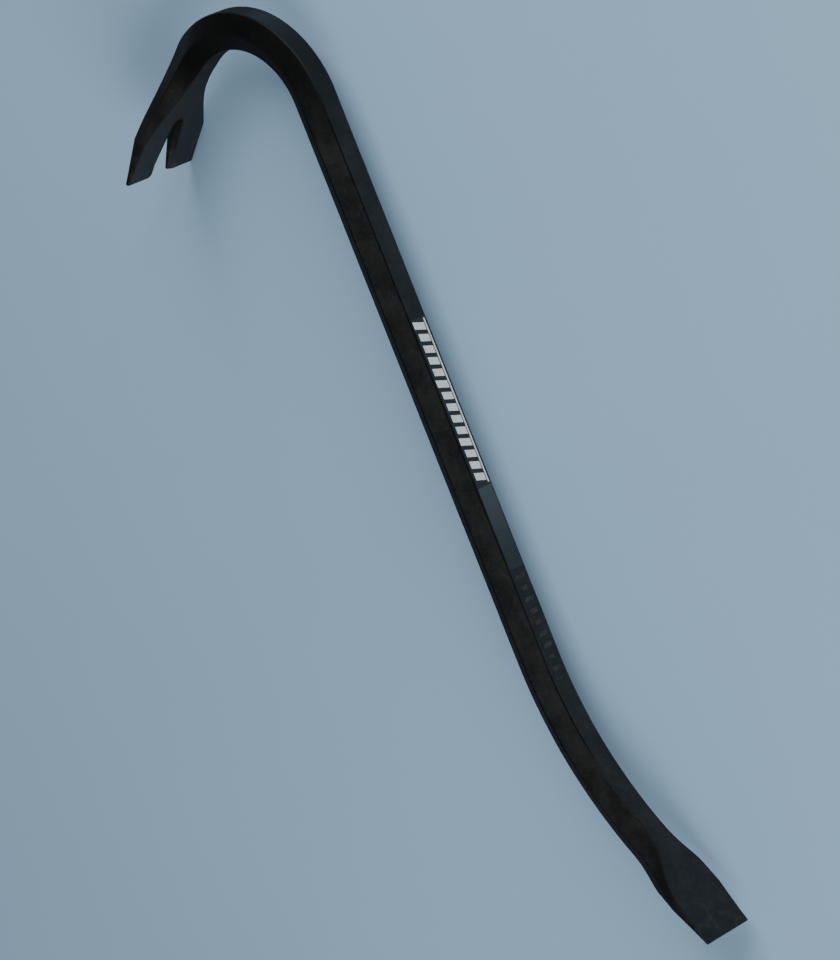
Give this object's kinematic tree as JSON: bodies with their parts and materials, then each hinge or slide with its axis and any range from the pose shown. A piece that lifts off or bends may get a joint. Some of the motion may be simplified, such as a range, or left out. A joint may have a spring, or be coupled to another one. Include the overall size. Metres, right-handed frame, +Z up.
{
  "type": "pry bar",
  "caption": "Gooseneck crow bar forged from hexagonal steel, with a slotted claw at one end, an angled chisel at the other, and a film label on one flat.",
  "frame": {"origin": "under the middle of the bar's box, at the height of its lowest point, with the bar lying on its side", "axes": "+X along the straight shaft towards the gooseneck, +Y towards the side that the claw hooks over, +Z up, across the plane of the bends"},
  "size_m": [0.9144, 0.3402, 0.084],
  "materials": {
    "black_lacquer": "semi-gloss black lacquer over forged steel, faintly mottled, rubbed along the edges",
    "label_film": "glossy black film with a plain white printed scale"
  },
  "bodies": {
    "root": {"forged_bar": "black_lacquer", "printed_label": "label_film"}
  },
  "joints": []
}
